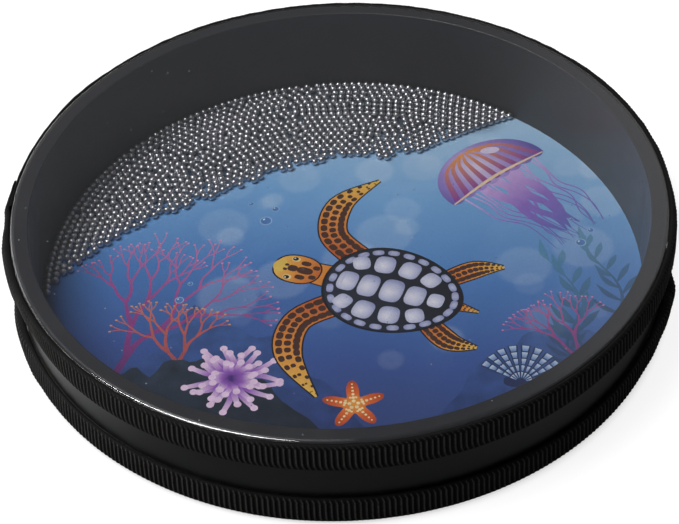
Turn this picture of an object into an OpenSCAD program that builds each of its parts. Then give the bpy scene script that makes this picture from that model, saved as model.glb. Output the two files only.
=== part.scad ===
/* [Shell] */
// Outside diameter of the bent-wood hoop
shell_d = 249; // [200:1:320]
// Thickness of the hoop's wall
shell_wall = 6.3; // [5:0.1:9]
// Height of the hoop
shell_h = 39; // [36:1:80]
// Radius that the hoop's outer edges are sanded to
edge_r = 1.5; // [0.8:0.1:2.2]
// Radius that the hoop's inner edges are broken to
inner_edge_r = 0.5; // [0.3:0.1:0.8]

/* [Heads] */
// Thickness of the polyester film of both heads
film_t = 0.25; // [0.15:0.05:0.5]
// Depth of the skirt that a head folds down outside the hoop
skirt_h = 10.5; // [8:0.5:14]
// Thickness of the glue under a skirt
head_glue_t = 0.25; // [0.1:0.05:0.4]

/* [Ribbons] */
// Width of the grosgrain ribbon
ribbon_w = 11.8; // [9:0.2:15]
// Thickness of the ribbon over its ribs
ribbon_t = 1; // [0.6:0.1:1.6]
// Distance of a ribbon's outer edge from the face of the drum
ribbon_inset = 0.5; // [0.3:0.1:1.5]
// Thickness of the glue under a ribbon
ribbon_glue_t = 0.15; // [0.1:0.05:0.3]
// Length of ribbon that laps over its own start
ribbon_lap = 15; // [8:1:30]
// Where the upper ribbon's lap starts, counter-clockwise from the right
top_lap_angle = 172; // [0:1:359]
// Where the lower ribbon's lap starts, counter-clockwise from the right
bottom_lap_angle = 345; // [0:1:359]

/* [Picture] */
// Thickness of the printed picture sheet
picture_t = 0.2; // [0.1:0.05:0.4]
// Gap between the picture sheet's edge and the hoop
picture_gap = 0.4; // [0.2:0.1:1]

/* [Steel shot] */
// Diameter of one steel ball
ball_d = 3; // [2.6:0.1:4]
// Least gap between two balls
ball_gap = 0.05; // [0.04:0.01:0.2]
// Gap between the outer row of balls and the hoop
wall_gap = 0.25; // [0.15:0.05:0.5]
// Gap between the balls and the picture sheet
roll_gap = 0.05; // [0.02:0.01:0.2]
// Angle of the blunt end of the pile, counter-clockwise from the right
pile_from = 49.5; // [0:0.5:90]
// Angle of the thin end of the pile
pile_to = 184.5; // [160:0.5:220]
// How far the pile reaches in from the hoop where it is deepest
pile_depth = 56; // [20:1:80]

/* [Hidden] */

// Rings are drawn with this many sides, and balls with fewer
$fn = 180;
ball_sides = 24;

// The hoop stands on the bottom film, and z = 0 is the face that the drum rests on
shell_r = shell_d / 2;
inner_r = shell_r - shell_wall;
shell_z = film_t;
drum_h = shell_h + 2 * film_t;

// The film bends round the hoop's edge and then runs down outside the glue
skirt_inner_r = shell_r + head_glue_t;
skirt_r = skirt_inner_r + film_t;
bend_r = edge_r + film_t;

ribbon_inner_r = skirt_r + ribbon_glue_t;
ribbon_r = ribbon_inner_r + ribbon_t;
// The ribbon's glue stays this far back from each edge, so that none squeezes out
glue_margin = 1.2;

picture_z = shell_z;
picture_top = picture_z + picture_t;
ball_z = picture_top + roll_gap + ball_d / 2;

// Rows of balls follow the hoop, each seated in the row behind it, so two balls are never
// closer than one pitch
pitch = ball_d + ball_gap;
pile_r = inner_r - wall_gap - ball_d / 2;
pile_turn = pile_to - pile_from;
shot_groups = 8;
degrees = 180 / PI;
// How deep the pile is at equal steps from its blunt end to its thin end
depth_shares = [0.56, 0.77, 0.90, 0.93, 0.96, 0.99, 1, 0.97, 0.90, 0.75, 0.57, 0.32, 0.05];
// A ball moves on into a pocket of the row behind if it lies within this share of a pitch
snap_share = 0.35;
// Most balls have up to the small share of a pitch to spare beside them, and a few the large one
small_spare_share = 0.05;
large_spare_share = 0.5;
large_spare_chance = 0.05;
// Share of a ball that the pile's front edge wanders by
ragged_share = 0.6;
// Width of the gap in a row, in pitches, that a ball no longer rests across
pocket_share = 1.9;
luck = rands(0, 1, 4000, 7);
past_end = 999;

// The same number from 0 to 1 each time for one ball of one row
function chance(row, i) = luck[(row * 131 + i * 7) % len(luck)];

function spare(row, i) =
    let (c = chance(row, i))
    c < large_spare_chance ? pitch * large_spare_share : pitch * small_spare_share * c;

// A row is a list of [angle, radius], and the first one lies along the hoop
function wall_row() = [
    for (i = 0, a = pile_from; a < pile_to; i = i + 1, a = a + (pitch + spare(0, i)) / pile_r * degrees)
        [a, pile_r]
];

// The radius at which a ball at angle a comes to rest against the balls behind it
function seat_r(behind, a) = min([
    for (b = behind)
        let (aside = b[1] * sin(a - b[0]), ahead = b[1] * cos(a - b[0]))
            if (ahead > 0 && abs(aside) < pitch) ahead - sqrt(pitch * pitch - aside * aside)
]);

// The angles of the pockets between the neighbours of a row
function pockets(row) = [
    for (i = [0:len(row) - 2])
        if ((row[i + 1][0] - row[i][0]) * row[i][1] < pocket_share * pitch * degrees)
            (row[i][0] + row[i + 1][0]) / 2
];

// The next ball's angle: the pocket just ahead if there is one, or as close as it can lie
function next_angle(spots, a, r) =
    let (ahead = [for (spot = spots) if (spot >= a) spot])
    len(ahead) == 0 ? past_end : (ahead[0] - a) * r < snap_share * pitch * degrees ? ahead[0] : a;

function next_row(before, last, row) =
    let (behind = concat(before, last), spots = pockets(last))
    len(spots) == 0 ? [] : [
        for (
            i = 0, b = spots[0], a = b, r = seat_r(behind, a);
            b < past_end;
            i = i + 1,
            b = next_angle(spots, a + (pitch + spare(row, i)) / r * degrees, r),
            a = b < past_end ? b : a,
            r = seat_r(behind, a)
        ) [a, r]
    ];

// How far the pile's front edge lies from the hoop at angle a
function depth_at(a) =
    let (last = len(depth_shares) - 1)
    pile_depth * lookup((a - pile_from) / pile_turn * last, [for (i = [0:last]) [i, depth_shares[i]]]);

function in_pile(ball, row, i) =
    let (reach = inner_r - ball[1] + ball_d / 2, ragged = ball_d * ragged_share * (chance(i, row) - 0.5))
    ball[0] >= pile_from && ball[0] <= pile_to && reach < depth_at(ball[0]) + ragged;

// All the balls of the pile, row after row
function pile_from_row(before, last, row) =
    len(last) < 2 || last[0][1] < inner_r - pile_depth - ball_d ? [] : concat(
        [for (i = [0:len(last) - 1]) if (in_pile(last[i], row, i)) last[i]],
        pile_from_row(last, next_row(before, last, row + 1), row + 1)
    );
pile = pile_from_row([], wall_row(), 0);

// Turns a piece made for the top of the drum over to its bottom
module at_bottom() {
    translate([0, 0, drum_h]) mirror([0, 0, 1]) children();
}

// A ring of rectangular section
module ring(inner, outer, z, h) {
    rotate_extrude() translate([inner, z]) square([outer - inner, h]);
}

// Half of the hoop's section, from its middle to its top edge, with the edges rounded
module shell_half_section() {
    half_h = shell_h / 2;
    translate([inner_r, 0]) square([shell_wall, half_h - edge_r]);
    translate([inner_r + inner_edge_r, 0]) square([shell_wall - edge_r - inner_edge_r, half_h]);
    translate([inner_r, 0]) square([shell_wall / 2, half_h - inner_edge_r]);
    translate([inner_r + inner_edge_r, half_h - inner_edge_r]) circle(r = inner_edge_r, $fn = 24);
    translate([shell_r - edge_r, half_h - edge_r]) circle(r = edge_r, $fn = 48);
}

// The bent hoop, glued into one ring and lacquered black
module shell() {
    color("#2c2d30") translate([0, 0, shell_z + shell_h / 2]) rotate_extrude() {
        shell_half_section();
        mirror([0, 1]) shell_half_section();
    }
}

// What a head encloses: a plate with a rounded edge and straight sides
module head_blank(r, z, round_r, h) {
    translate([0, z - h]) square([r, h - round_r]);
    translate([0, z - round_r]) square([r - round_r, round_r]);
    translate([r - round_r, z - round_r]) circle(r = round_r, $fn = 48);
}

// One film: a flat disc that bends over the hoop's edge into a skirt
module head() {
    rotate_extrude() difference() {
        intersection() {
            head_blank(skirt_r, drum_h, bend_r, skirt_h);
            translate([0, drum_h - skirt_h]) square([skirt_r, skirt_h]);
        }
        intersection() {
            head_blank(skirt_inner_r, drum_h - film_t, edge_r, skirt_h);
            translate([0, drum_h - skirt_h - film_t]) square([skirt_r, skirt_h]);
        }
    }
}

// The glue between a skirt and the hoop
module head_glue() {
    ring(shell_r, skirt_inner_r, drum_h - skirt_h, skirt_h - bend_r);
}

// One ribbon round the drum, with its end lapped over its start
module ribbon(lap_angle) {
    z = drum_h - ribbon_inset - ribbon_w;
    ring(ribbon_inner_r, ribbon_r, z, ribbon_w);
    rotate([0, 0, lap_angle]) rotate_extrude(angle = ribbon_lap / ribbon_r * degrees)
        translate([ribbon_r - ribbon_t / 2, z]) square([ribbon_t * 3 / 2, ribbon_w]);
}

// The glue between a ribbon and the skirt under it
module ribbon_glue() {
    low = drum_h - skirt_h;
    high = drum_h - max(ribbon_inset + glue_margin, bend_r);
    ring(skirt_r, ribbon_inner_r, low, high - low);
}

module top_head() {
    color("#dfe6ea", 0.25) head();
}

module top_head_glue() {
    color("#c9b98a") head_glue();
}

module top_ribbon() {
    color("#161617") ribbon(top_lap_angle);
}

module top_ribbon_glue() {
    color("#c9b98a") ribbon_glue();
}

module bottom_head() {
    color("#dfe6ea") at_bottom() head();
}

module bottom_head_glue() {
    color("#c9b98a") at_bottom() head_glue();
}

module bottom_ribbon() {
    color("#161617") at_bottom() ribbon(bottom_lap_angle);
}

module bottom_ribbon_glue() {
    color("#c9b98a") at_bottom() ribbon_glue();
}

// The printed disc that the balls roll on
module picture_sheet() {
    color("#5478b4") translate([0, 0, picture_z]) cylinder(h = picture_t, r = inner_r - picture_gap);
}

// The balls of one group, which is an equal share of the pile's turn
module steel_shot(group) {
    from = pile_from + pile_turn * (group - 1) / shot_groups;
    to = pile_from + pile_turn * group / shot_groups;
    color("#8a8c8f")
        for (ball = pile)
            if (ball[0] >= from && (ball[0] < to || group == shot_groups))
                translate([ball[1] * cos(ball[0]), ball[1] * sin(ball[0]), ball_z])
                    sphere(d = ball_d, $fn = ball_sides);
}

shell();
top_head();
top_head_glue();
top_ribbon();
top_ribbon_glue();
bottom_head();
bottom_head_glue();
bottom_ribbon();
bottom_ribbon_glue();
picture_sheet();
steel_shot(1);  // steel_shot_1
steel_shot(2);  // steel_shot_2
steel_shot(3);  // steel_shot_3
steel_shot(4);  // steel_shot_4
steel_shot(5);  // steel_shot_5
steel_shot(6);  // steel_shot_6
steel_shot(7);  // steel_shot_7
steel_shot(8);  // steel_shot_8
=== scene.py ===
import cmath
import math
import random

import bmesh
import bpy
from mathutils import Matrix, Vector, noise
from mathutils.geometry import delaunay_2d_cdt


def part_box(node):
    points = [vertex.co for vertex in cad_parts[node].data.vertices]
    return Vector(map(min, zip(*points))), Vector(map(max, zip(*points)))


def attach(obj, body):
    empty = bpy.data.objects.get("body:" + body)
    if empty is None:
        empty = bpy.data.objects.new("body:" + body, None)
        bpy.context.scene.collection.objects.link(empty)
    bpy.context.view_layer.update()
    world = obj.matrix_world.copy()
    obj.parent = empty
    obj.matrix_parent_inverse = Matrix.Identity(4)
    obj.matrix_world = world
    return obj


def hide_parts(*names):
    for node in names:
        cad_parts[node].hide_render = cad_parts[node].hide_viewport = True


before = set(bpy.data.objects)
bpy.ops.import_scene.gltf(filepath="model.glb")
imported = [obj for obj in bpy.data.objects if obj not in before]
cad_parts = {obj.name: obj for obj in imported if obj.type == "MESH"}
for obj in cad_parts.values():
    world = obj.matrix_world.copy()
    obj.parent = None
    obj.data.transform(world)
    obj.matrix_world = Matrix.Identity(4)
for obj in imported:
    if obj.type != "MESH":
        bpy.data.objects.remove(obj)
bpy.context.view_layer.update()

MM = 0.001

# Hoop
# A ring of bent wood, 6.3 mm thick, that everything else is glued to. It is sprayed with black
# lacquer and left satin; its top edge is painted a lighter grey, a painted reflection of the film.
LACQUER = "#0d0e10"
LACQUER_WORN = "#1a1b1e"
LACQUER_ROUGH = (0.34, 0.44)
# The top edge's colour below is a painted reflection: lighter than the lacquer, for the film's sheen
# over it.
RIM_TOP_SHEEN = "#25252a"
ORANGE_PEEL_MM = 1.6
PEEL_DEPTH_MM = 0.05
BRUSH_MARK_MM = 14
EDGE_DEPTH_MM = 1.2
EDGE_FLAT_MM = 0.2
EASED = {"interpolation_type": "SMOOTHSTEP"}


def linear(code):
    """Turns an sRGB hex colour into the linear colour that a shader takes."""
    parts = [int(code[place:place + 2], 16) / 255 for place in (1, 3, 5)]
    return tuple(p / 12.92 if p <= 0.04045 else ((p + 0.055) / 1.055) ** 2.4 for p in parts) + (1.0,)


def add(material, kind, settings=None, stops=(), **sockets):
    """Adds a node with its own choices, colour stops, and values or outputs that feed its sockets.

    A socket goes by its identifier, so the second of two alike ends in 001.
    """
    tree = material.node_tree
    new = tree.nodes.new("ShaderNode" + kind)
    for name, value in (settings or {}).items():
        setattr(new, name, value)
    if stops:
        for element, (position, code) in zip(new.color_ramp.elements, stops):
            element.position = position
            element.color = linear(code)
    for name, value in sockets.items():
        wanted = name.replace("_", " ")
        socket = next(s for s in new.inputs if s.identifier.replace("_", " ").lower() == wanted)
        if isinstance(value, bpy.types.NodeSocket):
            tree.links.new(value, socket)
        else:
            socket.default_value = value
    return new


def start(name):
    """Makes an empty material, whose nodes follow."""
    material = bpy.data.materials.new(name)
    material.use_nodes = True
    material.node_tree.nodes.clear()
    return material


def coat(node, material):
    """Gives a node of the frame its finish."""
    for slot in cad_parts[node].material_slots:
        slot.material = material


lacquer = start("satin_black_lacquer")
where = add(lacquer, "TexCoord").outputs["Object"]
height = add(lacquer, "SeparateXYZ", vector=where).outputs["Z"]
hoop_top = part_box("shell")[1].z
# Painted reflection: the lacquer turns lighter grey at the top edge, under the film.
edge = add(lacquer, "MapRange", EASED, value=height, from_min=hoop_top - EDGE_DEPTH_MM * MM,
           from_max=hoop_top - EDGE_FLAT_MM * MM).outputs["Result"]
cloud = add(lacquer, "TexNoise", vector=where, scale=1 / (BRUSH_MARK_MM * MM), detail=5.0,
            roughness=0.62).outputs["Fac"]
paint = add(lacquer, "ValToRGB", stops=[(0.3, LACQUER), (0.75, LACQUER_WORN)],
            fac=cloud).outputs["Color"]
colour = add(lacquer, "MixRGB", fac=edge, color1=paint, color2=linear(RIM_TOP_SHEEN)).outputs["Color"]
shine = add(lacquer, "MapRange", value=cloud, from_min=0.3, from_max=0.7, to_min=LACQUER_ROUGH[0],
            to_max=LACQUER_ROUGH[1]).outputs["Result"]
peel = add(lacquer, "TexNoise", vector=where, scale=1 / (ORANGE_PEEL_MM * MM), detail=2.0).outputs["Fac"]
bump = add(lacquer, "Bump", strength=0.12, distance=PEEL_DEPTH_MM * MM, height=peel).outputs["Normal"]
shader = add(lacquer, "BsdfPrincipled", base_color=colour, roughness=shine, specular_ior_level=0.5,
             normal=bump)
add(lacquer, "OutputMaterial", surface=shader.outputs["BSDF"])
coat("shell", lacquer)

# Heads
# Two discs of clear polyester film, 0.25 mm thick, drawn tight over the hoop's edges and heat
# set, so that they bend down into a skirt, a little puckered. They show as gloss, haze and dust.
FILM_MM = 0.25
BEND_MM = 1.1
SKIRT_MM = 10.5
AIR_MM = 0.02
BEND_STEPS = 8
HEAD_STEPS = 360
PUCKER_MM = 0.08
PUCKERS = 14
HAZE = "#aab0b8"
DUST_MM = 7
DUST_SPECK = (0.03, 0.05)
DUST_SHADE = 0.45
HAZE_SHADE = 0.012
CLEAR = 0.97
GLANCE = 0.07
GLANCE_POWER = 5.0
GLOSS_ROUGH = 0.03


def make(name, shape, material, smooth=True):
    """Turns a bmesh into an object of the scene with its material."""
    mesh = bpy.data.meshes.new(name)
    shape.to_mesh(mesh)
    shape.free()
    mesh.polygons.foreach_set("use_smooth", [smooth] * len(mesh.polygons))
    mesh.materials.append(material)
    new = bpy.data.objects.new(name, mesh)
    bpy.context.scene.collection.objects.link(new)
    return new


def head(name, node, face, inward):
    """Spins one head from half its section: out over the face, down the skirt and back inside."""
    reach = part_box(node)[1].x / MM
    section = []
    for thick in (0.0, FILM_MM - AIR_MM):
        bend = [math.pi / 2 * step / BEND_STEPS for step in range(BEND_STEPS + 1)]
        radius = BEND_MM - thick
        side = [(0.0, thick)]
        side += [(reach - BEND_MM + radius * math.sin(t), BEND_MM - radius * math.cos(t)) for t in bend]
        side.append((reach - thick, SKIRT_MM))
        section += side if thick == 0 else side[::-1]
    shape = bmesh.new()
    points = [shape.verts.new((r * MM, 0, face + inward * depth * MM)) for r, depth in section]
    edges = [shape.edges.new(pair) for pair in zip(points, points[1:])]
    bmesh.ops.spin(shape, geom=points + edges, axis=(0, 0, 1), cent=(0, 0, 0), angle=math.tau,
                   steps=HEAD_STEPS, use_merge=True)
    bmesh.ops.remove_doubles(shape, verts=shape.verts, dist=0.001 * MM)
    for v in shape.verts:
        out = math.hypot(v.co.x, v.co.y)
        if out > (reach - BEND_MM / 2) * MM:
            way = Vector((v.co.x, v.co.y, 0)) / out
            swell = max(noise.noise(way * PUCKERS), 0.0) * PUCKER_MM * MM
            v.co += way * swell
    bmesh.ops.recalc_face_normals(shape, faces=shape.faces)
    piece = make(name, shape, film)
    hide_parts(node)
    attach(piece, "drum")


film = start("clear_polyester_film")
where = add(film, "TexCoord").outputs["Object"]
facing = add(film, "LayerWeight", blend=0.5).outputs["Facing"]
steep = add(film, "Math", {"operation": "POWER"}, value=facing, value_001=GLANCE_POWER).outputs["Value"]
share = add(film, "MapRange", value=steep, to_min=GLANCE, to_max=1.0).outputs["Result"]
clear = add(film, "BsdfTransparent", color=(CLEAR, CLEAR, CLEAR, 1.0)).outputs["BSDF"]
gloss = add(film, "BsdfGlossy", color=(1.0, 1.0, 1.0, 1.0), roughness=GLOSS_ROUGH).outputs["BSDF"]
specks = add(film, "TexVoronoi", vector=where, scale=1 / (DUST_MM * MM),
             randomness=1.0).outputs["Distance"]
dust = add(film, "MapRange", value=specks, from_min=DUST_SPECK[0], from_max=DUST_SPECK[1],
           to_min=DUST_SHADE, to_max=HAZE_SHADE).outputs["Result"]
haze = add(film, "BsdfDiffuse", color=linear(HAZE)).outputs["BSDF"]
hazy = add(film, "MixShader", fac=dust, shader=clear, shader_001=haze).outputs["Shader"]
glossy = add(film, "MixShader", fac=share, shader=hazy, shader_001=gloss).outputs["Shader"]
add(film, "OutputMaterial", surface=glossy)
head("bottom_film", "bottom_head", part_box("bottom_head")[0].z, 1)
head("top_film", "top_head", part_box("top_head")[1].z, -1)

# Glue
# Contact glue brushed on in thin bands, under each head's skirt and again under each ribbon. It
# dries to a clear amber skin with brush marks, which the black behind it turns nearly black.
GLUE_DARK = "#0e0c08"
GLUE_PALE = "#2c2415"
SMEAR_MM = 3
SMEAR_DEPTH_MM = 0.1

glue = start("dried_contact_glue")
where = add(glue, "TexCoord").outputs["Object"]
smear = add(glue, "TexNoise", vector=where, scale=1 / (SMEAR_MM * MM), detail=4.0).outputs["Fac"]
colour = add(glue, "ValToRGB", stops=[(0.3, GLUE_DARK), (0.7, GLUE_PALE)], fac=smear).outputs["Color"]
bump = add(glue, "Bump", strength=0.4, distance=SMEAR_DEPTH_MM * MM, height=smear).outputs["Normal"]
shader = add(glue, "BsdfPrincipled", base_color=colour, roughness=0.5, normal=bump)
add(glue, "OutputMaterial", surface=shader.outputs["BSDF"])
for node in ("top_head_glue", "bottom_head_glue", "top_ribbon_glue", "bottom_ribbon_glue"):
    coat(node, glue)

# Picture sheet
# A disc of gloss card 0.2 mm thick, printed with a scene under the sea and white behind, that
# lies loose on the lower film. The printed shapes are laid one over the other, as a printer
# builds up colours, and cut into one flat sheet. Places on it are complex numbers in mm.
PRINT_PITCH_MM = 1.5
EDGE_PLAY_MM = 0.45
RIM_POINTS = 240
WELD_MM = 1e-5
INK_GRAIN_MM = 0.7
CARD_BACK = "#e9e9e6"
CARD_EDGE = "#3e5878"
WATER = ["#303e70", "#3c599e", "#4c81c4", "#78aee2", "#aad0f0"]
# The colour of the painted shade laid on the print under the pile of shot.
SHOT_SHADE_INK = "#141c2c"
FAR_ROCK = ["#141d3f", "#263a72", "#3a5a94"]
NEAR_ROCK = ["#080c14", "#121a28", "#2a3748"]
ROCK_FADE_MM = 25
KELP = ["#10263a", "#1d4f68", "#4486a0"]
KELP_SHADED = ["#0e2033", "#17415a", "#356f8c"]
FAN_PINK = ["#5a1f6a", "#b03a86", "#f08fb8"]
FAN_ORANGE = ["#7a2f2a", "#d8602f", "#f2a65a"]
KELP_FAR = 0.35
FAN_FAR = 0.22
ROCK_FAR = 0.3
layers = []


def mix(stops, share):
    """The colour at a share from 0 to 1 along a row of hex colours."""
    last = len(stops) - 1
    place = min(max(share, 0.0), 1.0) * last
    low = min(int(place), last - 1)
    first, second = linear(stops[low]), linear(stops[low + 1])
    return [a + (b - a) * (place - low) for a, b in zip(first[:3], second[:3])]


def grain(z, size, seed=0.0):
    """Soft random shade from -1 to 1 whose lumps are about size mm across."""
    return noise.fractal(Vector((z.real / size, z.imag / size, seed)), 1.0, 2.0, 3)


def smooth_step(value):
    """Eases a share from 0 to 1."""
    value = min(max(value, 0.0), 1.0)
    return value * value * (3 - 2 * value)


def lay(place, outline, paint, far=0.0):
    """Lays a shape on the print, at a place from spot. Far is the share of water before it."""
    middle, turn = place

    def ink(z):
        own = paint((z - middle) / turn)
        return [a + far * (b - a) for a, b in zip(own, water(z))] if far else own

    layers.append(([middle + point * turn for point in outline], ink))


def spot(x, y, size=1.0, degrees=0.0):
    """A place on the print with a size and a turn, for lay."""
    return complex(x, y), cmath.rect(size, math.radians(degrees))


def oval(middle, long, short, lean=0.0, power=2.0, points=32):
    """An oval, squarer as power rises."""
    turned = cmath.rect(1, math.radians(lean))
    ring = []
    for step in range(points):
        angle = math.tau * step / points
        x, y = math.cos(angle), math.sin(angle)
        x, y = (math.copysign(abs(v) ** (2 / power), v) for v in (x, y))
        ring.append(middle + turned * complex(long * x, short * y))
    return ring


def curve(row, share):
    """A smooth curve through a row of places or widths, at a share of its length."""
    place = min(max(share, 0.0), 1.0) * (len(row) - 1)
    at = min(int(place), len(row) - 2)
    t = place - at
    a, b, c, d = (row[min(max(at + k, 0), len(row) - 1)] for k in (-1, 0, 1, 2))
    bow = 2 * a - 5 * b + 4 * c - d
    return 0.5 * (2 * b + (c - a) * t + bow * t * t + (3 * b - a - 3 * c + d) * t ** 3)


def stroke(path, widths, points=14):
    """A brush stroke along a path, as wide as widths say."""
    left, right = [], []
    for step in range(points + 1):
        share = step / points
        here = curve(path, share)
        way = curve(path, share + 0.01) - curve(path, share - 0.01)
        side = way / abs(way) * 1j * max(curve(widths, share), 0.05) / 2
        left.append(here + side)
        right.append(here - side)
    return right + left[::-1]


def flat(code):
    """Ink of one colour, a little uneven."""
    return lambda z: [c * (1 + 0.12 * grain(z, 4.0)) for c in linear(code)[:3]]


def across(stops, start_at, end_at):
    """Ink that shades through the stops from one place to another."""
    way = end_at - start_at
    return lambda z: [c * (1 + 0.08 * grain(z, 3.0))
                      for c in mix(stops, ((z - start_at) * way.conjugate()).real / abs(way) ** 2)]


def round_out(stops, middle, reach):
    """Ink that shades through the stops from a middle outwards."""
    return lambda z: [c * (1 + 0.08 * grain(z, 3.0)) for c in mix(stops, abs(z - middle) / reach)]


draw = random.Random(11)
SUN = complex(150, 210)
glints = [(complex(draw.uniform(-60, 112), draw.uniform(-60, 80)), draw.uniform(4, 13),
           draw.uniform(0.1, 0.34)) for _ in range(40)]


def water(z):
    """The sea: pale at the upper right, indigo in front, and with painted shade under the shot at the
    rear left.
    """
    depth = (z.imag + 95) / 190 + 0.0008 * (z.real + 20) + 0.05 * grain(z, 70.0)
    colour = mix(WATER, depth)
    from_sun = z - SUN
    ray = noise.noise(Vector((cmath.phase(from_sun) * 26, 3.1, 0.4)))
    light = max(ray, 0.0) * 0.16 * min(max(1.15 - abs(from_sun) / 300, 0.0), 1.0)
    ripple = max(noise.noise(Vector((z.real / 26, z.imag / 5, 2.7))), 0.0)
    rear, right = (min(max(share, 0.0), 1.0) for share in ((z.imag - 25) / 60, (z.real + 10) / 60))
    light += ripple * 0.2 * rear * right
    for middle, reach, strength in glints:
        inside = min(max((reach - abs(z - middle)) / 1.6, 0.0), 1.0)
        light += strength * inside * (0.75 + 0.25 * abs(z - middle) / reach) * (0.25 + 0.75 * depth)
    # Painted shade: behind a line along the front of the pile of shot, the sea darkens as if shadowed by
    # the balls.
    shot_front = 68 + 0.28 * z.real - 0.0022 * z.real ** 2 + 3 * grain(z, 12.0)
    shade = 0.9 * smooth_step((z.imag - shot_front) / 12) * smooth_step((76 - z.real) / 16)
    lit = [c + light * (target - c) for c, target in zip(colour, (0.72, 0.86, 1.0))]
    return [c + shade * (dark - c) for c, dark in zip(lit, linear(SHOT_SHADE_INK))]


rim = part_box("picture_sheet")[1].x / MM + EDGE_PLAY_MM
layers.append((oval(0, rim, rim, points=RIM_POINTS), water))


def reef(start_x, end_x, level, rise, rough, seed, stops, far=0.0):
    """Rocks along the near side of the scene, from one place across to another."""
    steps = 60
    ridge = []
    for step in range(steps + 1):
        x = start_x + (end_x - start_x) * step / steps
        hump = math.sin(math.pi * step / steps)
        y = level + rise * hump + rough * grain(complex(x, 0), 22.0, seed) * hump
        ridge.append(complex(x, y))
    foot = [complex(end_x, -rim - 6), complex(start_x, -rim - 6)]

    def stone(z):
        height = (z.imag - level + ROCK_FADE_MM) / (rise + ROCK_FADE_MM)
        return [c * (1 + 0.5 * grain(z, 7.0, seed)) for c in mix(stops, height)]

    lay(spot(0, 0), foot + ridge[::-1], stone, far)


def weed(x, y, tall, lean, sway, width, stops, seed):
    """One strand of kelp with its blades."""
    picker = random.Random(seed)
    spine = [complex(x + lean * t + sway * math.sin(t * 7 + seed), y + tall * t) for t in
             [k / 6 for k in range(7)]]
    ink = across(stops, complex(x, y), complex(x + lean, y + tall))
    for k in range(2, 15):
        share = k / 15
        foot = curve(spine, share)
        side = 1 if k % 2 else -1
        tip = foot + complex(side * width * 2.6 * (1.1 - share), width * 1.7 + picker.uniform(0, width))
        lay(spot(0, 0), stroke([foot, (foot + tip) / 2 + side * complex(0.3, 0.5) * width / 2, tip],
                               [0.6, width * 0.62, 0.2], 8), ink, KELP_FAR)
    lay(spot(0, 0), stroke(spine, [1.6, 1.3, 1.2, 1.0, 0.9, 0.7, 0.3], 30), ink, KELP_FAR)


def sea_fan(place, tall, heading, spread, levels, stops, picker):
    """A fan of coral that forks again and again, thinner each time."""
    def fork(foot, length, way, width, level):
        tip = foot + cmath.rect(length, way)
        bow = (foot + tip) / 2 + cmath.rect(length * 0.12 * picker.uniform(-1, 1), way + math.pi / 2)
        shade = (levels - level) / levels
        lay(spot(0, 0), stroke([foot, bow, tip], [width, width * 0.8, width * 0.62], 5),
            across(stops, place, place + cmath.rect(tall * 2.2, math.radians(heading))), FAN_FAR)
        if level > 0:
            for turn in (-1, 1):
                fork(tip, length * picker.uniform(0.72, 0.88),
                     way + turn * picker.uniform(0.2, 0.42) * spread, width * 0.72, level - 1)
        else:
            bud = oval(tip, width * (0.8 + 0.2 * shade), width * 0.8, points=8)
            lay(spot(0, 0), bud, flat(stops[-1]), FAN_FAR)

    fork(place, tall / 2.4, math.radians(heading), tall / 12, levels)


def anemone(place, reach, fingers, stops, picker):
    """A sea anemone: fingers that bend out from its middle, the back ones first."""
    for ring in range(3):
        for finger in range(fingers):
            way = math.tau * (finger + 0.5 * ring + picker.uniform(-0.2, 0.2)) / fingers
            long = reach * (1 - 0.26 * ring) * picker.uniform(0.85, 1.08)
            tip = cmath.rect(long, way + picker.uniform(-0.25, 0.25))
            lay((place, 1), stroke([0, cmath.rect(long * 0.55, way), tip], [2.6, 2.4, 2.0], 8),
                across(stops, 0, tip))
            lay((place, 1), oval(tip, 1.5, 1.5, points=10), flat(stops[-1]))


def starfish(place, reach, inks, dots):
    """A starfish with five round arms and a row of pale dots on each."""
    outline = []
    for step in range(80):
        angle = math.tau * step / 80
        outline.append(cmath.rect(reach * (0.36 + 0.64 * abs(math.cos(2.5 * angle)) ** 2.4), angle))
    lay(place, outline, round_out(inks, 0, reach))
    for arm in range(5):
        for bead in range(1, 7):
            here, size = cmath.rect(reach * 0.14 * bead, math.tau * arm / 5), 0.85 - 0.08 * bead
            lay(place, oval(here, size, size, points=8), flat(dots))
    for bead in range(10):
        here = cmath.rect(reach * 0.3, math.tau * (bead + 0.5) / 10)
        lay(place, oval(here, 0.5, 0.5, points=8), flat(dots))


def scallop(place, reach, ribs, pale, dark):
    """A scallop shell seen from outside, its ribs fanned from the hinge."""
    lay(place, oval(complex(0, 0), reach * 0.34, reach * 0.15, 90, 3.0, 16), flat(dark))
    ways = [math.radians(-62 + 124 * rib / (ribs - 1)) for rib in range(ribs)]
    fan = [(way, reach * (1 - 0.16 * abs(math.sin(way)) ** 2)) for way in ways]
    wide = reach * 0.2
    for way, long in fan:
        lay(place, stroke([0, cmath.rect(long * 0.5, way), cmath.rect(long, way)],
                          [0.5, wide * 0.55, wide], 8), flat(dark))
    for way, long in fan:
        for ring in range(5):
            inner, outer = long * (0.12 + 0.18 * ring), long * (0.27 + 0.18 * ring)
            lay(place, stroke([cmath.rect(inner, way), cmath.rect(outer, way)],
                              [wide * 0.62 * inner / long, wide * 0.72 * outer / long], 2),
                across(pale, cmath.rect(inner, way), cmath.rect(outer, way)))


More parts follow.
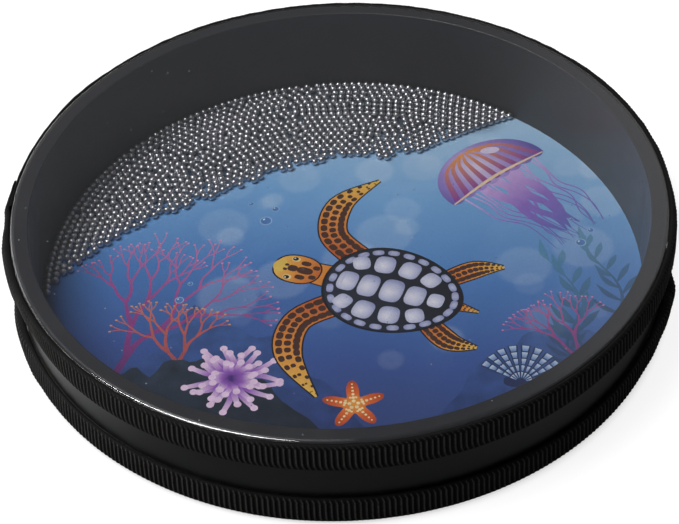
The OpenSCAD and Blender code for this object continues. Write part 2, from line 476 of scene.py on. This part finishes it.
def jellyfish(place, reach, bell_inks, stripe, edge_ink, arm_inks, picker):
    """A jellyfish: thin arms first, then the frilled lips, the bell, its stripes and its hem."""
    for arm in range(15):
        at = -0.86 + 1.72 * arm / 14
        sway = picker.uniform(-0.3, 0.3)
        path = [complex(-0.06 * reach, at * reach * 0.9)]
        for k in range(1, 6):
            swing = at * (0.9 - 0.06 * k) + 0.09 * math.sin(k * 1.9 + sway * 9) + sway * 0.12 * k
            path.append(complex(-reach * (0.1 + 0.36 * k), reach * swing))
        lay(place, stroke(path, [0.9, 0.8, 0.75, 0.6, 0.5, 0.25], 22),
            across(arm_inks, path[0], path[-1]))
    for lip in (-0.34, -0.12, 0.12, 0.34):
        frill = [lip * (1 - 0.1 * k) + 0.06 * math.sin(k * 2.1 + lip * 20) for k in range(6)]
        path = [complex(-reach * 0.34 * k, reach * swing) for k, swing in enumerate(frill)]
        lay(place, stroke(path, [5.5, 4.4, 5.0, 3.4, 3.2, 0.6], 24), across(arm_inks, path[0], path[-1]))
    bell = []
    for step in range(25):
        angle = math.radians(-96 + 192 * step / 24)
        bell.append(complex(math.cos(angle) * reach * 0.82, math.sin(angle) * reach))
    hem = []
    for step in range(49):
        t = step / 48
        scollop = 0.1 + 0.05 * abs(math.sin(t * math.pi * 8))
        hem.append(complex(-reach * scollop, reach * (0.99 - 1.98 * t)))
    lay(place, bell + hem, round_out(bell_inks, complex(reach * 0.35, reach * 0.1), reach * 1.1))
    for step in range(9):
        at = -0.88 + 1.76 * step / 8
        path = [complex(reach * 0.74, at * reach * 0.1), complex(reach * 0.52, at * reach * 0.66),
                complex(-reach * 0.08, at * reach)]
        lay(place, stroke(path, [0.5, 1.7, 3.0], 12), across(stripe, path[0], path[-1]))
    lay(place, stroke([complex(-reach * 0.1, -reach * 0.97), complex(-reach * 0.02, 0),
                       complex(-reach * 0.1, reach * 0.97)], [0.6, 1.5, 0.6], 20), flat(edge_ink))
    lay(place, oval(complex(reach * 0.5, -reach * 0.36), reach * 0.16, reach * 0.08, 60, points=16),
        flat(bell_inks[0]))


def turtle(place, hide, blotch, shell_ink, scute_inks, line_ink):
    """A sea turtle from above: flippers, head and tail, then the shell with its pale scutes."""
    flippers = [([22 + 17j, 35 + 34j, 31 + 56j, 9 + 77j], [15, 14, 12.5, 1.0]),
                ([22 - 17j, 40 - 30j, 44 - 53j, 31 - 76j], [15, 14, 12.5, 1.0]),
                ([-24 + 15j, -38 + 24j, -52 + 24j], [10, 11, 1.6]),
                ([-24 - 15j, -36 - 27j, -49 - 33j], [10, 11, 1.6]),
                ([-32 + 0j, -46 + 1j], [7, 0.8])]
    for path, widths in flippers:
        lay(place, stroke(path, [w + 1.6 for w in widths], 24), flat(line_ink))
        lay(place, stroke(path, widths, 24), across(hide, path[0], path[-1]))
        plates = 4 * len(path)
        for k in range(1, plates):
            share = k / plates
            way = curve(path, share + 0.01) - curve(path, share - 0.01)
            way /= abs(way)
            wide = curve(widths, share)
            for row, size in ((-0.31, 0.17), (0.0, 0.13), (0.31, 0.17)):
                here = curve(path, share + 0.03 * (row > 0)) + way * 1j * row * wide
                lay(place, oval(here, wide * size, wide * 0.13, math.degrees(cmath.phase(way)), 2.6, 10),
                    flat(blotch))
    lay(place, stroke([24, 40, 48], [17, 15, 13], 8), flat(line_ink))
    lay(place, stroke([24, 40, 48], [15.5, 13.5, 12], 8), across(hide, 24, 48))
    lay(place, oval(48, 12.6, 10.2, power=2.3), flat(line_ink))
    lay(place, oval(48, 11.8, 9.4, power=2.3), across(hide, 34, 60))
    lay(place, oval(57, 3.6, 4.4), flat("#e9c35a"))
    for here, long, short in ((44, 4.2, 2.4), (50.5, 2.6, 2.2), (45 + 5j, 2.6, 1.6), (45 - 5j, 2.6, 1.6),
                              (39 + 3.4j, 1.9, 1.5), (39 - 3.4j, 1.9, 1.5), (54 + 1.6j, 1.1, 0.9),
                              (54 - 1.6j, 1.1, 0.9)):
        lay(place, oval(here, long, short, power=2.6, points=14), flat(blotch))
    for side in (1, -1):
        lay(place, oval(51 + side * 6.6j, 2.3, 1.7, points=16), flat("#f3dc9a"))
        lay(place, oval(51.3 + side * 6.8j, 1.5, 1.3, points=14), flat("#0a0a0d"))
        lay(place, oval(51.8 + side * 7.1j, 0.45, 0.45, points=8), flat("#ffffff"))

    def around(reach, points):
        turns = [math.tau * k / points for k in range(points)]
        return [complex((34 * reach) * math.cos(t) - 2,
                        (28 * reach) * math.sin(t) * (1 + 0.13 * math.cos(t))) for t in turns]

    lay(place, around(1.04, 72), flat(line_ink))
    lay(place, around(1.0, 72), across(shell_ink, 30 + 20j, -30 - 20j))
    edge_plates = around(0.915, 24)
    for k, here in enumerate(edge_plates):
        way = edge_plates[(k + 1) % 24] - edge_plates[k - 1]
        lay(place, oval(here, 3.0, 1.75, math.degrees(cmath.phase(way)), 2.8, 14),
            round_out(scute_inks[1:], here, 3.2))
    back = [(21.5, 5.0, 6.6), (10.5, 5.0, 7.6), (-1.5, 5.6, 7.8), (-13.5, 5.0, 6.6), (-24, 4.0, 4.6)]
    for x, long, wide in back:
        lay(place, oval(x, long, wide, power=3.2, points=24), round_out(scute_inks, x + 1 + 1j, 9))
    for x, y, long, wide, lean in ((19, 14, 4.4, 4.6, -24), (7.5, 16.4, 5.2, 6.0, -6),
                                   (-5.5, 16.2, 5.2, 5.8, 8), (-17.5, 12.8, 4.6, 4.8, 26)):
        for side in (1, -1):
            here = complex(x, side * y)
            lay(place, oval(here, long, wide, lean * side, 3.0, 24),
                round_out(scute_inks, here + 1 + 1j, 8))


reef(-124, 22, -112, 84, 22, 4.0, FAR_ROCK, ROCK_FAR)
reef(12, 150, -112, 72, 16, 8.0, FAR_ROCK, ROCK_FAR)
weed(96, -64, 66, -14, 4, 5, KELP, 3)
weed(108, -40, 52, -8, 3, 4, KELP, 5)
weed(84, -66, 44, 6, 3, 4, KELP_SHADED, 8)
sea_fan(complex(-90, -62), 48, 70, 0.95, 6, FAN_PINK, random.Random(5))
sea_fan(complex(-62, -68), 36, 94, 1.1, 5, FAN_ORANGE, random.Random(9))
sea_fan(complex(92, -66), 30, 112, 1.0, 5, FAN_PINK, random.Random(21))
reef(-138, 10, -116, 70, 14, 1.0, NEAR_ROCK)
reef(30, 158, -116, 62, 12, 6.0, NEAR_ROCK)
anemone(complex(-43, -57), 17, 15, ["#4a2a7c", "#9a5fc0", "#f0d2f0"], random.Random(2))
scallop(spot(64, -66, 1.0, 78), 19, 9, ["#5f86c4", "#c9daf2"], "#1d2c58")
starfish(spot(2, -73, 1.0, 20), 12, ["#f6a83c", "#e2672a", "#b4441f"], "#ffe6b0")
jellyfish(spot(66, 52, 1.0, 128), 26, ["#e6d8f4", "#a48fd6", "#5b4fa6"], ["#f2a24e", "#8a3f9c"],
          "#f7d9b0", ["#d9b6ec", "#8f6cc8", "#5b62b8"], random.Random(4))
turtle(spot(18, -14, 0.8, 158), ["#c75f22", "#e8923a", "#f2c45c"], "#4a2a1c", ["#262a3c", "#0c0d15"],
       ["#f2f1fb", "#c9cbe6", "#8a93c2"], "#0b0c12")
bubbles = [(-30 + 30j, 2.6), (-26 + 37j, 1.6), (-36 + 41j, 1.2), (96 + 8j, 2.2), (101 + 15j, 1.4),
           (94 + 22j, 1.0), (-64 - 14j, 1.8), (-60 - 5j, 1.1)]
for here, size in bubbles:
    gleam = oval(complex(-0.3, 0.35) * size, size * 0.22, size * 0.16, 40, points=8)
    lay((here, 1), oval(0, size, size, points=20), flat("#9cc0e6"))
    lay((here, 1), oval(0, size * 0.82, size * 0.82, points=20), flat("#4f7fbd"))
    lay((here, 1), gleam, flat("#f4faff"))

places, outlines = [], []
for outline, _ in layers:
    area = sum((a.conjugate() * b).imag for a, b in zip(outline, outline[1:] + outline[:1]))
    ring = outline if area > 0 else outline[::-1]
    outlines.append(list(range(len(places), len(places) + len(ring))))
    places += [Vector((z.real, z.imag)) for z in ring]
rows = int(rim / PRINT_PITCH_MM)
for row in range(-rows, rows + 1):
    for column in range(-rows, rows + 1):
        place = Vector((column + 0.5 * (row % 2), row * math.sqrt(0.75))) * PRINT_PITCH_MM
        if place.length < rim - PRINT_PITCH_MM:
            places.append(place)
corners, _, triangles, _, _, owners = delaunay_2d_cdt(places, [], outlines, 1, WELD_MM, True)

low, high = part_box("picture_sheet")
sheet = bmesh.new()
ink = sheet.loops.layers.float_color.new("ink")
points = [sheet.verts.new((c.x * MM, c.y * MM, high.z)) for c in corners]
mixed = {}
for triangle, owner in zip(triangles, owners):
    if 0 not in owner:
        continue
    top = max(owner)
    face = sheet.faces.new([points[corner] for corner in triangle])
    for corner, loop in zip(triangle, face.loops):
        if (corner, top) not in mixed:
            mixed[corner, top] = layers[top][1](complex(*corners[corner]))
        loop[ink] = [max(c, 0.0) for c in mixed[corner, top]] + [1.0]
loose = [v for v in sheet.verts if not v.link_faces]
bmesh.ops.delete(sheet, geom=loose, context="VERTS")
wall = bmesh.ops.extrude_edge_only(sheet, edges=[e for e in sheet.edges if e.is_boundary])["geom"]
for part in wall:
    if isinstance(part, bmesh.types.BMVert):
        part.co.z = low.z
back = bmesh.ops.edgeloop_fill(sheet, edges=[e for e in sheet.edges if e.is_boundary])["faces"]
cut = [g for g in wall if isinstance(g, bmesh.types.BMFace)]
for faces, code in ((back, CARD_BACK), (cut, CARD_EDGE)):
    for face in faces:
        for loop in face.loops:
            loop[ink] = linear(code)
bmesh.ops.recalc_face_normals(sheet, faces=sheet.faces)

card = start("gloss_printed_card")
where = add(card, "TexCoord").outputs["Object"]
inks = add(card, "VertexColor", {"layer_name": "ink"}).outputs["Color"]
dots = add(card, "TexNoise", vector=where, scale=1 / (INK_GRAIN_MM * MM), detail=3.0,
           roughness=0.7).outputs["Fac"]
level = add(card, "MapRange", value=dots, from_min=0.25, from_max=0.75, to_min=0.9,
            to_max=1.1).outputs["Result"]
colour = add(card, "VectorMath", {"operation": "SCALE"}, vector=inks, scale=level).outputs["Vector"]
shader = add(card, "BsdfPrincipled", base_color=colour, roughness=0.32, coat_weight=0.5,
             coat_roughness=0.08, specular_ior_level=0.4)
add(card, "OutputMaterial", surface=shader.outputs["BSDF"])
picture = make("picture_print", sheet, card, smooth=False)
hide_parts("picture_sheet")
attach(picture, "drum")

# Steel shot
# About a thousand loose bearing balls of hardened steel, 3 mm across, ground and polished. Each
# mirrors the lamp as one bright spot and the dark room as grey. They lie in one layer, and the
# steel is shaded from each ball's own middle, so that a few faces shine as a true round.
BALL_MM = 3.0
STEEL = "#d4d4d8"
STEEL_DULL = "#bebec3"
STEEL_ROUGH = (0.36, 0.3)
STEEL_LUMP_MM = 2.4
ROUNDING_M = 1e-7

shot = bmesh.new()
middle = shot.verts.layers.float_vector.new("middle")
blank = bmesh.new()
bmesh.ops.create_icosphere(blank, subdivisions=2, radius=BALL_MM / 2 * MM)
ball = bpy.data.meshes.new("ball")
blank.to_mesh(ball)
blank.free()
for node in sorted(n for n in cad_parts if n.startswith("steel_shot")):
    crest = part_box(node)[1].z
    tops = {(round(v.co.x, 6), round(v.co.y, 6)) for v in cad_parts[node].data.vertices
            if v.co.z > crest - ROUNDING_M}
    for x, y in sorted(tops):
        centre = Vector((x, y, crest - BALL_MM / 2 * MM))
        ball.transform(Matrix.Translation(centre))
        shot.from_mesh(ball)
        ball.transform(Matrix.Translation(-centre))
        shot.verts.ensure_lookup_table()
        for v in shot.verts[-len(ball.vertices):]:
            v[middle] = centre

steel = start("polished_bearing_steel")
where = add(steel, "TexCoord").outputs["Object"]
lump = add(steel, "TexNoise", vector=where, scale=1 / (STEEL_LUMP_MM * MM), detail=1.0).outputs["Fac"]
colour = add(steel, "ValToRGB", stops=[(0.35, STEEL_DULL), (0.65, STEEL)], fac=lump).outputs["Color"]
rough = add(steel, "MapRange", value=lump, from_min=0.3, from_max=0.7, to_min=STEEL_ROUGH[0],
            to_max=STEEL_ROUGH[1]).outputs["Result"]
core = add(steel, "Attribute", {"attribute_name": "middle"}).outputs["Vector"]
from_core = add(steel, "VectorMath", {"operation": "SUBTRACT"}, vector=where,
                vector_001=core).outputs["Vector"]
round_way = add(steel, "VectorTransform", {"vector_type": "NORMAL", "convert_from": "OBJECT",
                                           "convert_to": "WORLD"}, vector=from_core).outputs["Vector"]
shader = add(steel, "BsdfPrincipled", base_color=colour, metallic=1.0, roughness=rough,
             normal=round_way)
add(steel, "OutputMaterial", surface=shader.outputs["BSDF"])
balls = make("steel_shot", shot, steel)
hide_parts(*sorted(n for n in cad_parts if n.startswith("steel_shot")))
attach(balls, "shot")

# Ribbons
# Two bands of black polyester grosgrain, just under 12 mm wide, glued round the hoop over the
# skirts with their ends lapped. Thick ribs cross each band every 2 mm, slant over at both edges
# and end there in small loops. A stand is a bearing and how far foot and head stand off there.
RIBBON_MM = 1.0
CORE_MM = 0.2
PAD_MM = 0.24
RIB_MM = 1.97
RIB_DEPTH_MM = 0.6
STEPS_PER_RIB = 8
ROWS = 12
LOOP_MM = 0.06
SELVEDGE_SHARE = 0.85
UPPER_SLANTS = (0.65, 0.75)
LOWER_SLANTS = (0.25, 0.4)
YARN_MM = 0.45
YARN_DEPTH_MM = 0.12
WAVE_PERIOD = 0.31
FUZZ_MM = 0.5
LAP_MM = 0.9
LAP_DEGREES = 6.8
LAP_CLIMB = 0.05
UPPER_LAP_AT = 172
LOWER_LAP_AT = 345
FLUTTER_MM = 0.16
WAVER_MM = 0.22
WAVES = 24
TABLE_GAP_MM = 0.03
# The rib colours are painted light and shade: lighter on each crest, near black in the grooves, over the
# real relief.
RIB_LIT_CREST = "#555352"
RIB_SHADED_GAP = "#0a0a0a"
TIMES = {"operation": "MULTIPLY"}
UPPER_SAGS = (0.0, 0.0)
LOWER_SAGS = (0.25, 0.9)
UPPER_STANDS = [(0, 0.9, 1.4), (15, 0.9, 1.7), (34, 1.2, 2.0), (45, 1.0, 1.2), (60, 1.0, 1.0),
                (84, 1.2, 1.4), (104, 1.2, 1.3), (118, 1.3, 1.6), (128, 0.9, 1.1), (136, 0.6, 1.0),
                (147, 0.8, 1.5), (156, 0.5, 0.5), (163, 0.3, 0.4), (174, 0.3, 0.3), (182, 1.1, 1.5),
                (190, 2.1, 2.4), (196, 1.9, 2.3), (202, 0.8, 1.7), (208, 0.4, 1.3), (214, 0.8, 1.0),
                (222, 1.3, 0.6), (230, 1.3, 0.5), (300, 1.4, 0.5), (325, 1.5, 0.7), (336, 2.0, 1.1),
                (344, 2.3, 1.6), (352, 1.6, 1.8)]
LOWER_STANDS = [(0, 0.8, 0.8), (90, 0.7, 0.6), (170, 0.9, 0.8), (186, 1.5, 1.6), (194, 2.3, 2.9),
                (198, 2.5, 2.9), (203, 2.7, 1.2), (208, 2.0, 0.7), (216, 1.7, 0.8), (238, 1.4, 0.7),
                (270, 1.5, 0.7), (328, 1.4, 0.7), (336, 2.0, 1.6), (342, 2.5, 3.8), (346, 2.4, 3.4),
                (352, 0.8, 0.9)]

grosgrain = start("black_grosgrain")
where = add(grosgrain, "TexCoord").outputs["Object"]
painted_rib_light = add(grosgrain, "Attribute", {"attribute_name": "crest"}).outputs["Fac"]
yarns = add(grosgrain, "TexWave", {"bands_direction": "Z"}, vector=where,
            scale=WAVE_PERIOD / (YARN_MM * MM), distortion=1.2, detail=1.0,
            detail_scale=1.5).outputs["Fac"]
fuzz = add(grosgrain, "TexNoise", vector=where, scale=1 / (FUZZ_MM * MM), detail=3.0).outputs["Fac"]
worn = add(grosgrain, "MapRange", value=fuzz, from_min=0.2, from_max=0.8, to_min=0.6,
           to_max=1.15).outputs["Result"]
shade = add(grosgrain, "Math", TIMES, value=painted_rib_light, value_001=worn).outputs["Value"]
# Painted highlight and painted shade: the crest share runs the colour from the groove's black up to the
# crest's grey.
colour = add(grosgrain, "ValToRGB", stops=[(0.42, RIB_SHADED_GAP), (0.92, RIB_LIT_CREST)],
             fac=shade).outputs["Color"]
bump = add(grosgrain, "Bump", strength=0.5, distance=YARN_DEPTH_MM * MM, height=yarns).outputs["Normal"]
shader = add(grosgrain, "BsdfPrincipled", base_color=colour, roughness=0.8, specular_ior_level=0.18,
             normal=bump)
add(grosgrain, "OutputMaterial", surface=shader.outputs["BSDF"])


def stand(stands, bearing, up):
    """How far a ribbon stands off at a bearing and at a share of its width, 0 at its foot."""
    row = [stands[-1]] + stands + [stands[0]]
    at = next(k for k in range(1, len(row)) if k == len(row) - 1 or bearing < row[k][0])
    (before, foot_a, head_a), (after, foot_b, head_b) = row[at - 1], row[at]
    share = smooth_step((bearing - before) % 360 / ((after - before) % 360))
    return (foot_a + (foot_b - foot_a) * share) * (1 - up) + (head_a + (head_b - head_a) * share) * up


def band(name, node, lap_at, stands, sags, slants, seed):
    """Cuts a strip of ribbon, ribs it, and wraps it clockwise from its hidden end round to its lap."""
    near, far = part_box(node)
    low, high = near.z - sags[0] * MM, far.z - sags[1] * MM
    inner = -near.y - RIBBON_MM * MM
    turn = math.tau + math.radians(LAP_DEGREES)
    ribs = round(turn * inner / (RIB_MM * MM))
    strip = bmesh.new()
    crest = strip.verts.layers.float.new("crest")
    bmesh.ops.create_grid(strip, x_segments=ribs * STEPS_PER_RIB, y_segments=ROWS, size=1.0)
    outside = bmesh.ops.extrude_face_region(strip, geom=strip.faces[:], use_keep_orig=True)["geom"]
    outer = {v for v in outside if isinstance(v, bmesh.types.BMVert)}
    for v in strip.verts:
        along, up = (v.co.x + 1) / 2, (1 - math.cos(math.pi * (v.co.y + 1) / 2)) / 2
        angle = math.radians(lap_at + LAP_DEGREES) - along * turn
        bearing = math.degrees(angle) % 360
        on_lap = smooth_step((along * turn - (math.tau - LAP_CLIMB)) / LAP_CLIMB)
        slant = slants[0] * max(1 - up / 0.3, 0) ** 1.5 - slants[1] * max((up - 0.86) / 0.14, 0)
        rib = (0.5 - 0.5 * math.cos(math.tau * (along * ribs + slant))) ** 1.3
        flutter = noise.noise(Vector((math.cos(angle) * WAVES, math.sin(angle) * WAVES, seed + up)))
        radius = inner + on_lap * LAP_MM * MM
        outward = abs(2 * up - 1)
        loop = LOOP_MM * (rib - 0.4) * smooth_step(outward * 6 - 5)
        z = low + (high - low) * up + math.copysign(loop, up - 0.5) * MM + WAVER_MM * MM * flutter
        if v in outer:
            rounded = (1 - outward ** 6) ** 0.5
            bound = SELVEDGE_SHARE * smooth_step((outward - 0.72) / 0.24)
            relief = (rib + (0.8 - rib) * bound) * (0.3 + 0.7 * rounded)
            radius += (CORE_MM + PAD_MM * rounded + RIB_DEPTH_MM * relief) * MM
            radius += (stand(stands, bearing, up) + FLUTTER_MM * flutter) * (0.4 + 0.6 * rounded) * MM
            # Painted light: the crest share is high on a rib's crest, low in its groove, lower towards
            # the ribbon's edges, and none inside.
            v[crest] = rib * (0.35 + 0.65 * rounded)
        v.co = (math.cos(angle) * radius, math.sin(angle) * radius, max(z, TABLE_GAP_MM * MM))
    bmesh.ops.recalc_face_normals(strip, faces=strip.faces)
    if strip.calc_volume(signed=True) < 0:
        bmesh.ops.reverse_faces(strip, faces=strip.faces)
    piece = make(name, strip, grosgrain)
    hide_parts(node)
    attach(piece, "drum")


band("top_grosgrain", "top_ribbon", UPPER_LAP_AT, UPPER_STANDS, UPPER_SAGS, UPPER_SLANTS, 1.0)
band("bottom_grosgrain", "bottom_ribbon", LOWER_LAP_AT, LOWER_STANDS, LOWER_SAGS, LOWER_SLANTS, 2.0)

# Studio
# A pale table with one soft lamp above and to the left, a weaker one behind at the left, and a
# dim room that is a little brighter at the right. The drum mirrors the table dark but for its
# bright left end and a faint right one, so its front stays black. To the eye the table is white.
LAMP_AWAY_M = 1.3
TABLE = "#8c8c8c"
TABLE_MIRRORED = "#707070"
TABLE_ACROSS_M = 8.0
TABLE_GLOW = 0.88
LEFT_GLOW = 1.1
RIGHT_GLOW = 0.06
ROOM_LOW = 0.1
ROOM_HIGH = 0.04
ROOM_RIGHT = 0.25
HORIZON = 2.0
PLUS = {"operation": "ADD"}
LARGER = {"operation": "MAXIMUM"}

# Where each glow sets in and where it is full: metres on the table from the drum's axis, and
# then parts of a unit direction in the room.
PAST_DRUM_M = (0.12, 0.13)
LEFT_END_M = (-0.08, -0.17)
RIGHT_END_M = (0.03, 0.1)
UPWARD = (0.56, 0.78)
BEHIND = (0.3, 0.55)
RIGHTWARD = (0.09, 0.26)
LOW_SKY = (0.34, 0.12)
LEFT_SKY = (-0.15, -0.5)


def softbox(name, way, size, radiance):
    """A white square lamp that faces the drum, set by its direction and by how bright its face is."""
    data = bpy.data.lights.new(name, "AREA")
    data.shape = "SQUARE"
    data.size = size
    data.energy = radiance * math.pi * size * size
    lamp = bpy.data.objects.new(name, data)
    lamp.location = Vector(way).normalized() * LAMP_AWAY_M
    lamp.rotation_euler = (-lamp.location).to_track_quat("-Z", "Y").to_euler()
    bpy.context.scene.collection.objects.link(lamp)


softbox("key_softbox", (-0.41, -0.05, 0.91), size=0.68, radiance=11.2)
softbox("side_softbox", (-0.75, 0.5, 0.42), size=0.5, radiance=1.5)

floor_shape = bmesh.new()
bmesh.ops.create_circle(floor_shape, cap_ends=True, radius=TABLE_ACROSS_M / 2, segments=64)
table = start("pale_table")
seen = add(table, "LightPath").outputs
where = add(table, "TexCoord").outputs["Object"]
reach = add(table, "VectorMath", {"operation": "LENGTH"}, vector=where).outputs["Value"]
outside = add(table, "MapRange", EASED, value=reach, from_min=PAST_DRUM_M[0],
              from_max=PAST_DRUM_M[1]).outputs["Result"]
across_table = add(table, "SeparateXYZ", vector=where).outputs["X"]
left = add(table, "MapRange", EASED, value=across_table, from_min=LEFT_END_M[0], from_max=LEFT_END_M[1],
           to_max=LEFT_GLOW).outputs["Result"]
right = add(table, "MapRange", EASED, value=across_table, from_min=RIGHT_END_M[0],
            from_max=RIGHT_END_M[1], to_max=RIGHT_GLOW).outputs["Result"]
ends = add(table, "Math", PLUS, value=left, value_001=right).outputs["Value"]
mirrored = add(table, "Math", LARGER, value=seen["Is Glossy Ray"],
               value_001=seen["Is Transmission Ray"]).outputs["Value"]
mirror_glow = add(table, "Math", TIMES, value=mirrored, value_001=ends).outputs["Value"]
eye_glow = add(table, "Math", TIMES, value=seen["Is Camera Ray"], value_001=TABLE_GLOW).outputs["Value"]
either_glow = add(table, "Math", LARGER, value=eye_glow, value_001=mirror_glow).outputs["Value"]
glow = add(table, "Math", TIMES, value=either_glow, value_001=outside).outputs["Value"]
looked_at = add(table, "Math", TIMES, value=seen["Is Camera Ray"], value_001=outside).outputs["Value"]
tone = add(table, "MixRGB", fac=looked_at, color1=linear(TABLE_MIRRORED),
           color2=linear(TABLE)).outputs["Color"]
shader = add(table, "BsdfPrincipled", base_color=tone, roughness=0.9, specular_ior_level=0.1,
             emission_color=(1.0, 1.0, 1.0, 1.0), emission_strength=glow)
add(table, "OutputMaterial", surface=shader.outputs["BSDF"])
floor = make("table_top", floor_shape, table, smooth=False)

room = bpy.data.worlds.new("room")
room.use_nodes = True
room.node_tree.nodes.clear()
way = add(room, "SeparateXYZ", vector=add(room, "TexCoord").outputs["Generated"]).outputs
behind = add(room, "MapRange", EASED, value=way["Y"], from_min=BEHIND[0],
             from_max=BEHIND[1]).outputs["Result"]
right = add(room, "MapRange", EASED, value=way["X"], from_min=RIGHTWARD[0], from_max=RIGHTWARD[1],
            to_max=ROOM_RIGHT).outputs["Result"]
upward = add(room, "MapRange", value=way["Z"], from_min=UPWARD[0], from_max=UPWARD[1],
             to_min=ROOM_LOW, to_max=ROOM_HIGH).outputs["Result"]
rear_right = add(room, "Math", TIMES, value=behind, value_001=right).outputs["Value"]
low_sky = add(room, "MapRange", EASED, value=way["Z"], from_min=LOW_SKY[0],
              from_max=LOW_SKY[1]).outputs["Result"]
left_sky = add(room, "MapRange", EASED, value=way["X"], from_min=LEFT_SKY[0], from_max=LEFT_SKY[1],
               to_max=HORIZON).outputs["Result"]
horizon = add(room, "Math", TIMES, value=low_sky, value_001=left_sky).outputs["Value"]
seen = add(room, "LightPath").outputs
window = add(room, "Math", TIMES, value=horizon, value_001=seen["Is Glossy Ray"]).outputs["Value"]
walls = add(room, "Math", PLUS, value=upward, value_001=rear_right).outputs["Value"]
dim = add(room, "Math", PLUS, value=walls, value_001=window).outputs["Value"]
strength = add(room, "MixRGB", fac=seen["Is Camera Ray"], color1=dim,
               color2=(1.0, 1.0, 1.0, 1.0)).outputs["Color"]
backdrop = add(room, "Background", color=strength, strength=1.0).outputs["Background"]
add(room, "OutputWorld", surface=backdrop)
bpy.context.scene.world = room
bpy.context.scene.view_settings.view_transform = "Standard"

# Camera
# Worked out from the ovals of the rim and the band below it: a long lens 0.69 m away, looking
# down at 43 degrees on a point just below the head, and rolled a little.
FOCAL_PX = 1752.3
FRAME_PX = 679
DISTANCE_MM = 693.1
ELEVATION = 43.31
ROLL = -2.771
LOOK_AT_MM = (-0.76, 0.0, 3.61)

data = bpy.data.cameras.new("camera")
data.sensor_width = 36.0
data.lens = FOCAL_PX / FRAME_PX * data.sensor_width
camera = bpy.data.objects.new("camera", data)
tilt = math.radians(90 - ELEVATION)
turned = Matrix.Rotation(tilt, 4, "X") @ Matrix.Rotation(math.radians(ROLL), 4, "Z")
back_off = Vector((0, -math.cos(math.radians(ELEVATION)), math.sin(math.radians(ELEVATION))))
camera.matrix_world = Matrix.Translation((Vector(LOOK_AT_MM) + back_off * DISTANCE_MM) * MM) @ turned
bpy.context.scene.collection.objects.link(camera)
bpy.context.scene.camera = camera
